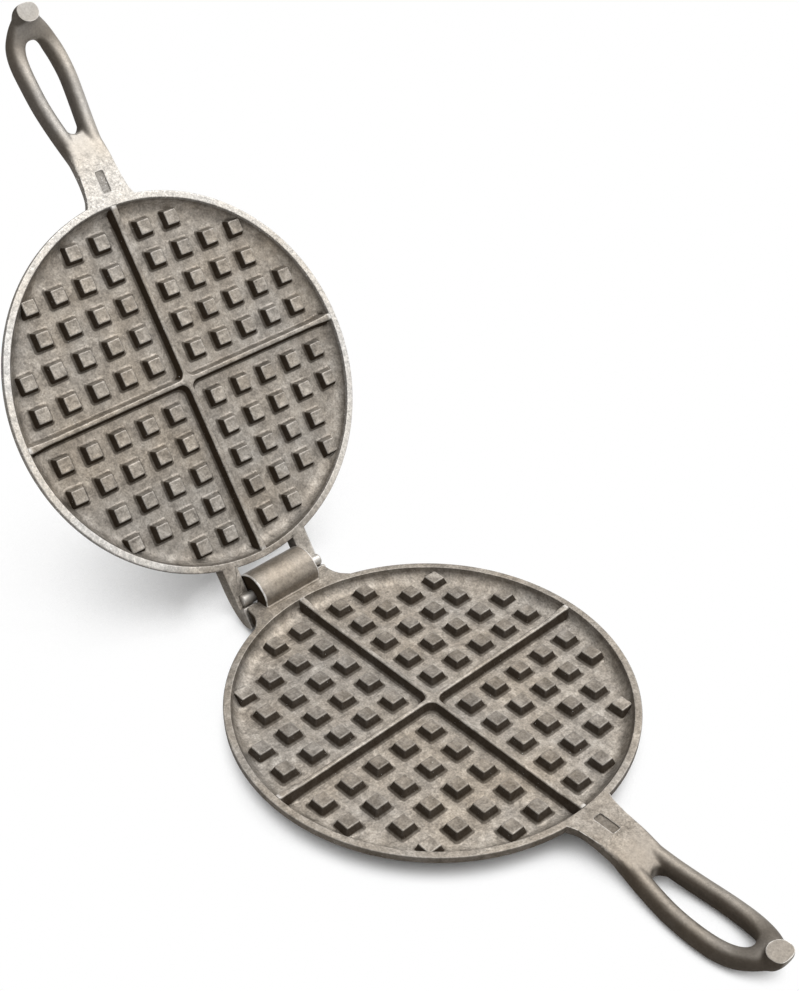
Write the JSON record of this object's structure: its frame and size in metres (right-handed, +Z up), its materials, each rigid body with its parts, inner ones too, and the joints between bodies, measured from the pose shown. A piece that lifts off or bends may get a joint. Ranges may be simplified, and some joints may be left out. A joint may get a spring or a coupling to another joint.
{
  "type": "hinged waffle iron",
  "caption": "Round cast waffle iron for a stove top or fire: two studded plates with loop handles, joined by a lift-apart hook hinge, standing open.",
  "frame": {"origin": "centre of the lower half's round plate, on the plane of its resting ring", "axes": "+X from the hinge towards the lower handle, +Y across, +Z up"},
  "size_m": [0.4827, 0.1888, 0.2599],
  "materials": {
    "lower_casting": "bare sand-cast, blasted",
    "upper_casting": "bare sand-cast, blasted",
    "pin_steel": "smooth drawn rod"
  },
  "bodies": {
    "lower": {"lower_half": "lower_casting"},
    "upper": {"upper_half": "upper_casting", "hinge_pin": "pin_steel"}
  },
  "joints": [
    {"name": "hinge", "type": "hinge", "parent": "lower", "child": "upper", "pos_m": [-0.1084, 0, 0.0133], "axis": [0, 1, 0], "range_deg": [0, 125.5]}
  ]
}
